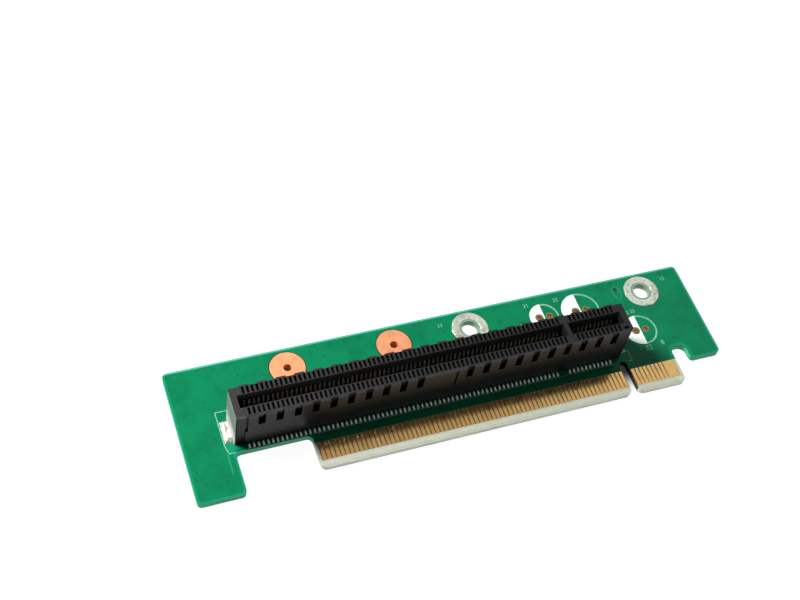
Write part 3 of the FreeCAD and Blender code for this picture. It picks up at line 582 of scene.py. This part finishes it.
# ------------------------------------------------------------------ silkscreen
ZS0, ZS1 = ZF - 0.002, ZF + 0.018
ink = Plates()
line = Plates()
SX0, SX1, SY0, SY1 = house_low[0] - 1.95, house_high[0] + 2.4, SLOT_Y - 5.05, SLOT_Y + 5.0
W = 0.20
line.bar(SX0, SLOT_Y - 3.0, SX0, SY1, W, ZS0, ZS1)
line.bar(SX0, SLOT_Y - 3.0, SX0 + 0.42, SY0, W, ZS0, ZS1)
line.bar(SX0 - W / 2, SY1, house_low[0] + 3, SY1, W, ZS0, ZS1)
line.bar(SX0 + 0.34, SY0, LEG_X + 0.1, SY0, W, ZS0, ZS1)
line.bar(TAB_L + 1.0, SY0 - 0.02, KEY_X - 1.6, SY0 - 0.02, 0.12, ZS0, ZS1)
line.bar(SX1, SY0, SX1, SLOT_Y - 2.3, W, ZS0, ZS1)
line.bar(SX1 + W / 2, SY0, KEY_X + 1.5, SY0, W, ZS0, ZS1)
line.bar(SX1 - 1.1, SLOT_Y - 2.3, SX1 + W / 2, SLOT_Y - 2.3, W, ZS0, ZS1)
line.bar(house_high[0] - 3, SY1, SX1, SY1, W, ZS0, ZS1)
line.bar(SX1, SY1, SX1, SLOT_Y + 4.2, W, ZS0, ZS1)
faint = Plates()
faint.bar(SX0 + 0.16, SY0 - 0.2, SX0 + 0.10, SY0 - 4.9, 0.30, ZS0, ZS1 - 0.008)
for (cx, cy, _), r in zip(caps, CAP_R):
    line.plate(arc(cx, cy, r, -90, 90, 36) + arc(cx, cy, r - 0.40, 90, -90, 36), [], ZS0, ZS1)
    # one half is filled, clear of its pad
    ink.plate(arc(cx, cy, r, 90, 270, 40), [circle(cx - 1.25, cy, 1.0, 32)], ZS0, ZS1)
# pale oval round the test via
ov = [(via[0] + 0.05 + 1.0 * math.cos(2 * math.pi * i / 40), via[1] - 0.9 + 1.9 * math.sin(2 * math.pi * i / 40)) for i in range(40)]
ovi = [(via[0] + 0.05 + 0.80 * math.cos(2 * math.pi * i / 40), via[1] - 0.9 + 1.7 * math.sin(2 * math.pi * i / 40)) for i in range(40)]
faint.plate(ov, [ovi], ZS0, ZS1 - 0.008)
ink.make("silkscreen_fills", M_SILK)
line.make("silkscreen_lines", M_LINE)
faint.make("silkscreen_faint", M_FAINT)


def digits(name, text, x, y, height, mat, turn=0.0):
    """Plain numbers printed beside a footprint."""
    cu = bpy.data.curves.new(name, "FONT")
    cu.body = text
    cu.size = height * 1.38 * MM
    cu.align_x, cu.align_y = "CENTER", "CENTER"
    cu.extrude = 0.009 * MM
    cu.offset = 0.00001
    cu.resolution_u = 3
    ob = bpy.data.objects.new(name, cu)
    bpy.context.scene.collection.objects.link(ob)
    ob.location = (x * MM, y * MM, (ZF + 0.008) * MM)
    ob.rotation_euler = (0, 0, math.radians(turn))
    bpy.context.view_layer.update()
    deps = bpy.context.evaluated_depsgraph_get()
    me = bpy.data.meshes.new_from_object(ob.evaluated_get(deps))
    me.transform(ob.matrix_world)
    bpy.data.objects.remove(ob)
    me.materials.clear()
    me.materials.append(mat.m)
    out = bpy.data.objects.new(name, me)
    bpy.context.scene.collection.objects.link(out)
    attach(out, "root")
    return out


digits("mark_1", "11", 0.7, 13.0, 0.95, M_LINE)
digits("mark_2", "21", 21.9, 13.4, 0.95, M_LINE)
digits("mark_3", "22", 29.3, 13.3, 0.95, M_LINE)
digits("mark_4", "23", 45.85, 6.05, 0.90, M_LINE)
digits("mark_9", "2", 44.5, 6.0, 0.90, M_LINE)
digits("mark_5", "12", 56.9, 12.9, 0.95, M_LINE)
digits("mark_6", "1", 43.5, -3.9, 1.0, M_LINE)
digits("mark_7", "22", 45.5, -4.1, 1.3, M_LINE)
digits("mark_8", "8", 49.2, -3.5, 1.25, M_LINE)


# ------------------------------------------------------------------ tinned rings of the mounting holes
def tin_ring(name, node, seed):
    """Uneven solder left on the ring, thick between its small via dimples, over the flat ring on the underside."""
    low, high = node_box(node)
    cx, cy = (low[0] + high[0]) / 2, (low[1] + high[1]) / 2
    r_out = (high[0] - low[0]) / 2
    r_in = 2.38
    rnd = random.Random(seed)
    holes_at = [(2 * math.pi * (k + 0.25) / 9, 3.28) for k in range(9)]
    lumps = [(2 * math.pi * (k + 0.75 + rnd.uniform(-0.15, 0.15)) / 9, 3.3 + rnd.uniform(-0.25, 0.3), rnd.uniform(0.06, 0.15)) for k in range(9)]
    lumps += [(rnd.uniform(0, 2 * math.pi), rnd.uniform(2.8, 3.9), rnd.uniform(0.01, 0.04)) for _ in range(8)]
    n, k = 180, 15
    v, f = [], []

    def height(a, r):
        t = (r - r_in) / (r_out - r_in)
        h = 0.045 + 0.06 * (1 - (2 * t - 1) ** 4) ** 0.5
        for la, lr, lh in lumps:
            d2 = (r * math.cos(a) - lr * math.cos(la)) ** 2 + (r * math.sin(a) - lr * math.sin(la)) ** 2
            h += lh * math.exp(-d2 / 0.36)
        for ha, hr in holes_at:
            d = math.hypot(r * math.cos(a) - hr * math.cos(ha), r * math.sin(a) - hr * math.sin(ha))
            h -= 0.10 * math.exp(-(d / 0.26) ** 4)
        return max(0.02, h)

    for i in range(n):
        a = 2 * math.pi * i / n
        wob = 0.035 * math.sin(5 * a + seed) + 0.025 * math.sin(11 * a + 2 * seed)
        v.append((cx + r_in * math.cos(a), cy + r_in * math.sin(a), TOP))
        for j in range(k + 1):
            t = j / k
            t = 0.5 - 0.5 * math.cos(math.pi * t)
            r = r_in + (r_out + wob - r_in) * t
            v.append((cx + r * math.cos(a), cy + r * math.sin(a), TOP + height(a, min(r, r_out))))
        v.append((cx + (r_out + wob) * math.cos(a), cy + (r_out + wob) * math.sin(a), TOP))
    w = k + 3
    for i in range(n):
        i2 = (i + 1) % n
        for j in range(w - 1):
            f.append((i * w + j, i * w + j + 1, i2 * w + j + 1, i2 * w + j))
        f.append((i * w + w - 1, i * w, i2 * w, i2 * w + w - 1))
    ob = mesh(name, v, f, M_RINGTIN, True)
    # underside ring, level with the mask
    under = Plates()
    under.ring(cx, cy, r_in, r_out, 0.0, 0.04, 96)
    ub = under.make(name + "_under", M_RINGTIN)
    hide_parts(node)
    # dark pits at the small vias' bottoms
    pits = Plates()
    for ha, hr in holes_at:
        pits.plate(circle(cx + hr * math.cos(ha), cy + hr * math.sin(ha), 0.15, 14), [], TOP + 0.01, TOP + height(ha, hr) + 0.006)
    pits.make(name + "_pits", M_PIT)
    # mask-free laminate between the ring and the hole
    inner = Plates()
    inner.ring(cx, cy, 1.93, 2.36, TOP - 0.004, TOP + 0.012, 72)
    inner.make(name + "_clearance", M_CLEAR)
    return ob


M_PIT = metal("pit", (0.42, 0.38, 0.28), (0.30, 0.26, 0.18), 0.5, 900, 0.2, metallic=0.4)
M_CLEAR = mask_material("clearance_laminate", (0.22, 0.33, 0.27), (0.14, 0.24, 0.19), 0.35)
tin_ring("mounting_solder_left", "mounting_ring_left", 3)
tin_ring("mounting_solder_right", "mounting_ring_right", 8)


# ------------------------------------------------------------------ solder on the tails
def solder_fillets(name, xs, side, seed):
    """A small meniscus round each tail on its land, steepest at the tail's end."""
    rnd = random.Random(seed)
    v, f = [], []
    y_in, y_out = 3.66, 4.85
    nx_, ny_ = 8, 12
    for x in xs:
        hw = 0.285 + rnd.uniform(-0.01, 0.01)
        tall = rnd.uniform(0.42, 0.46)
        base = len(v)
        crest = 3.86
        for j in range(ny_ + 1):
            t = j / ny_
            y = y_in + (y_out - y_in) * t
            for i in range(nx_ + 1):
                s = math.sin(math.pi / 2 * (i / nx_ * 2 - 1))
                edge_x = max(0.0, 1 - abs(s) ** 5)
                over = (y - crest) / (y_out - crest) if y > crest else 0.0
                h = tall * edge_x * (1 - over ** 1.8 if y > crest else min(1.0, 0.3 + (y - y_in) / 0.20))
                v.append((x + s * hw, SLOT_Y + side * y, LAND_Z + 0.001 + h))
        low = len(v)
        for j in range(ny_ + 1):
            t = j / ny_
            y = y_in + (y_out - y_in) * t
            v.append((x - hw, SLOT_Y + side * y, LAND_Z - 0.01))
            v.append((x + hw, SLOT_Y + side * y, LAND_Z - 0.01))
        w = nx_ + 1
        for j in range(ny_):
            for i in range(nx_):
                q = (base + j * w + i, base + j * w + i + 1, base + (j + 1) * w + i + 1, base + (j + 1) * w + i)
                f.append(q if side > 0 else q[::-1])
            q = (low + 2 * j, base + j * w, base + (j + 1) * w, low + 2 * j + 2)
            f.append(q if side > 0 else q[::-1])
            q = (base + j * w + nx_, low + 2 * j + 1, low + 2 * j + 3, base + (j + 1) * w + nx_)
            f.append(q if side > 0 else q[::-1])
        q = tuple([low] + [low + 1] + [base + i for i in range(nx_, -1, -1)])
        f.append(q if side > 0 else q[::-1])
        q = tuple([low + 2 * ny_ + 1, low + 2 * ny_] + [base + ny_ * w + i for i in range(nx_ + 1)])
        f.append(q if side > 0 else q[::-1])
    return mesh(name, v, f, M_TAIL, True)


solder_fillets("tail_solder_front", LONG_X + SHORT_X, -1, 11)
solder_fillets("tail_solder_rear", LONG_X + SHORT_X, 1, 12)


# ------------------------------------------------------------------ solder over the hold-downs' feet
def clip_solder(name, side, seed):
    """A mound over the foot, higher against the upright, drawn out to the land's edge, with a small unfilled hollow."""
    sg = -1 if side == "left" else 1
    low, high = node_box("hold_down_land_" + side)
    face = house_low[0] if side == "left" else house_high[0]
    rnd = random.Random(seed)
    y0, y1 = low[1] + 0.05, high[1] - 0.05
    out = (low[0] if side == "left" else high[0])
    reach = abs(out - face) - 0.04
    nx_, ny_ = 26, 60
    v, f = [], []
    yc = (y0 + y1) / 2
    for j in range(ny_ + 1):
        t = j / ny_
        y = y0 + (y1 - y0) * t
        for i in range(nx_ + 1):
            s = i / nx_                                   # 0 at the housing, 1 at the land's outer edge
            x = face + sg * (0.02 + reach * s)
            ey = 1 - abs(2 * t - 1) ** 7
            es = max(0.0, 1 - s ** 6 - abs(2 * t - 1) ** 9 * s ** 2)
            h = 0.34 + 0.22 * math.exp(-((s - 0.62) / 0.26) ** 2) + 0.34 * math.exp(-(s / 0.30) ** 2)
            h += 0.16 * math.exp(-((t - 0.84) / 0.13) ** 2 - ((s - 0.55) / 0.30) ** 2)
            h += 0.08 * math.sin(9 * t + 5 * s + seed) * (1 - abs(2 * t - 1))
            h -= 0.30 * math.exp(-((t - 0.60) / 0.045) ** 2 - ((s - 0.22) / 0.12) ** 2)
            # a flat step beside the foot at the lower end
            if t < 0.16 and s < 0.55:
                h *= 0.45 + 0.55 * (t / 0.16) ** 2
            v.append((x, y, LAND_Z + 0.002 + max(0.0, h * max(0.0, ey) ** 0.5 * max(0.0, es) ** 0.5)))
    w = nx_ + 1
    m0 = len(v)
    for j in range(ny_ + 1):
        for i in range(nx_ + 1):
            x, y, _ = v[j * w + i]
            v.append((x, y, LAND_Z - 0.012))
    for j in range(ny_):
        for i in range(nx_):
            q = (j * w + i, j * w + i + 1, (j + 1) * w + i + 1, (j + 1) * w + i)
            f.append(q if sg > 0 else q[::-1])
            f.append(tuple(m0 + a for a in (q[::-1] if sg > 0 else q)))
    rim_loop = [i for i in range(w)] + [j * w + nx_ for j in range(1, ny_ + 1)] + [ny_ * w + i for i in range(nx_ - 1, -1, -1)] + [j * w for j in range(ny_ - 1, 0, -1)]
    for a, b in zip(rim_loop, rim_loop[1:] + rim_loop[:1]):
        q = (m0 + a, m0 + b, b, a)
        f.append(q if sg > 0 else q[::-1])
    # the right side's solder takes the darker painted-shade copy
    return mesh(name, v, f, M_CREAM if side == "left" else M_SHADED_SOLDER, True)


clip_solder("hold_down_solder_left", "left", 5)
clip_solder("hold_down_solder_right", "right", 6)

# ------------------------------------------------------------------ floor, lights, camera
fm = Mat("floor_paper", Roughness=0.9)
fm.b.inputs["Specular IOR Level"].default_value = 0.1
paper = fm.mix(fm.ramp(fm.noise(9, 2, 0.5), 0.3, 0.7), (0.20, 0.20, 0.20), (0.22, 0.22, 0.22))
fm.b.inputs["Emission Color"].default_value = (1, 1, 1, 1)
fx, fy, _fz = fm.xyz()[0:3]


def floor_disc(x0, y0, r0, soft):
    d = fm.math("SQRT", fm.math("ADD", fm.math("POWER", fm.math("SUBTRACT", fx, x0 * MM), 2.0), fm.math("POWER", fm.math("SUBTRACT", fy, y0 * MM), 2.0)))
    return fm.ramp(d, (r0 - soft) * MM, r0 * MM)


# small discs of shade under the two copper discs' holes
glow_mask = fm.math("MULTIPLY", floor_disc(discs[0][0] + 0.3, discs[0][1] + 0.5, 3.4, 1.2), floor_disc(discs[1][0] + 0.3, discs[1][1] + 0.5, 3.4, 1.2))
# and in the key notch, deepest at its closed end
in_notch = fm.math("MULTIPLY", fm.math("LESS_THAN", fm.math("ABSOLUTE", fm.math("SUBTRACT", fx, KEY_X * MM)), 1.3 * MM),
                   fm.ramp(fy, (TIP_Y + 0.6) * MM, (TIP_Y + 6.4) * MM, 0.0, 0.97))
in_notch = fm.math("MULTIPLY", in_notch, fm.math("LESS_THAN", fy, (NOTCH_TOP + 0.6) * MM))
glow_mask = fm.math("MULTIPLY", glow_mask, fm.math("SUBTRACT", 1.0, in_notch))
fm.set("Emission Strength", fm.math("MULTIPLY", glow_mask, 0.94))
fm.set("Base Color", fm.mix(in_notch, paper, (0.085, 0.095, 0.065)))
me = bpy.data.meshes.new("floor")
S = 1.6
me.from_pydata([(-S, -S, -0.00002), (S, -S, -0.00002), (S, S, -0.00002), (-S, S, -0.00002)], [], [(0, 1, 2, 3)])
me.materials.append(fm.m)
floor = bpy.data.objects.new("floor", me)
bpy.context.scene.collection.objects.link(floor)

world = bpy.data.worlds.new("studio")
bpy.context.scene.world = world
world.use_nodes = True
wt = world.node_tree
wbg = wt.nodes["Background"]


def wnode(kind, *values, **props):
    n = wt.nodes.new(kind)
    for k, v in props.items():
        setattr(n, k, v)
    for i, v in enumerate(values):
        if v is None:
            continue
        if hasattr(v, "is_output"):
            wt.links.new(v, n.inputs[i])
        else:
            n.inputs[i].default_value = v
    return n.outputs


def wstep(value, low, high, to):
    n = wt.nodes.new("ShaderNodeMapRange")
    n.interpolation_type = "SMOOTHSTEP"
    wt.links.new(value, n.inputs["Value"])
    n.inputs["From Min"].default_value, n.inputs["From Max"].default_value = low, high
    n.inputs["To Min"].default_value, n.inputs["To Max"].default_value = 0.0, to
    return n.outputs["Result"]


# the room: dim, with one broad white sheet overhead and behind, and a pale band round the horizon
direction = wnode("ShaderNodeTexCoord")["Generated"]
sheet = Vector((0.18, 0.48, 0.86)).normalized()
toward = wnode("ShaderNodeVectorMath", direction, tuple(sheet), operation="DOT_PRODUCT")["Value"]
rise = wnode("ShaderNodeSeparateXYZ", direction)[2]
low_down = wnode("ShaderNodeMath", 1.0, wnode("ShaderNodeMath", rise, operation="ABSOLUTE")[0], operation="SUBTRACT")[0]
side_sheet = Vector((0.62, 0.40, 0.68)).normalized()
toward_side = wnode("ShaderNodeVectorMath", direction, tuple(side_sheet), operation="DOT_PRODUCT")["Value"]
sheets = wnode("ShaderNodeMath", wstep(toward, math.cos(math.radians(42)), math.cos(math.radians(28)), 0.50), wstep(toward_side, math.cos(math.radians(18)), math.cos(math.radians(11)), 0.30), operation="ADD")[0]
glow = wnode("ShaderNodeMath", sheets, wstep(low_down, 0.62, 0.90, 0.22), operation="ADD")[0]
front_sheet = Vector((0.30, -0.42, 0.85)).normalized()
toward_front = wnode("ShaderNodeVectorMath", direction, tuple(front_sheet), operation="DOT_PRODUCT")["Value"]
glow = wnode("ShaderNodeMath", glow, wstep(toward_front, math.cos(math.radians(17)), math.cos(math.radians(9)), 0.58), operation="ADD")[0]
total = wnode("ShaderNodeMath", glow, 0.02, operation="ADD")[0]
wbg.inputs["Color"].default_value = (1.0, 1.0, 1.0, 1)
wt.links.new(total, wbg.inputs["Strength"])


def softbox(name, direction, distance, size, power, aim=(0, 0, 0.003), shape="SQUARE", size_y=None):
    li = bpy.data.lights.new(name, "AREA")
    li.shape = "RECTANGLE" if size_y else shape
    li.size = size
    if size_y:
        li.size_y = size_y
    li.energy = power
    ob = bpy.data.objects.new(name, li)
    bpy.context.scene.collection.objects.link(ob)
    d = Vector(direction).normalized()
    ob.location = Vector(aim) + d * distance
    ob.rotation_euler = d.to_track_quat("Z", "Y").to_euler()
    return ob


softbox("key_back_left", (-0.70, 0.52, 0.80), 0.55, 0.18, 6.3)

# the camera: level of zoom and place solved from the contact rows' known pitch
AZ, EL, ROLL, DIST, FPX = -29.754, 53.942, 13.16, 296.32, 1317.2
TARGET = Vector((-43.331 + KEY_X, 36.262 + TIP_Y - 0.22, TOP)) * MM
a, e, r = math.radians(AZ), math.radians(EL), math.radians(ROLL)
back = Vector((math.sin(a) * math.cos(e), -math.cos(a) * math.cos(e), math.sin(e)))
right = (-back).cross(Vector((0, 0, 1))).normalized()
up = right.cross(-back)
R = math.cos(r) * right + math.sin(r) * up
U = -math.sin(r) * right + math.cos(r) * up
cam_data = bpy.data.cameras.new("camera")
cam_data.sensor_fit = "HORIZONTAL"
cam_data.sensor_width = 36.0
cam_data.lens = FPX / 800 * 36.0
cam_data.clip_start = 0.01
cam = bpy.data.objects.new("camera", cam_data)
bpy.context.scene.collection.objects.link(cam)
cam.matrix_world = Matrix.Translation(TARGET + back * DIST * MM) @ Matrix((R, U, back)).transposed().to_4x4()
bpy.context.scene.camera = cam

bpy.context.scene.view_settings.view_transform = "Standard"
bpy.context.scene.view_settings.look = "None"
bpy.context.scene.view_settings.exposure = 0.0

bpy.context.view_layer.update()
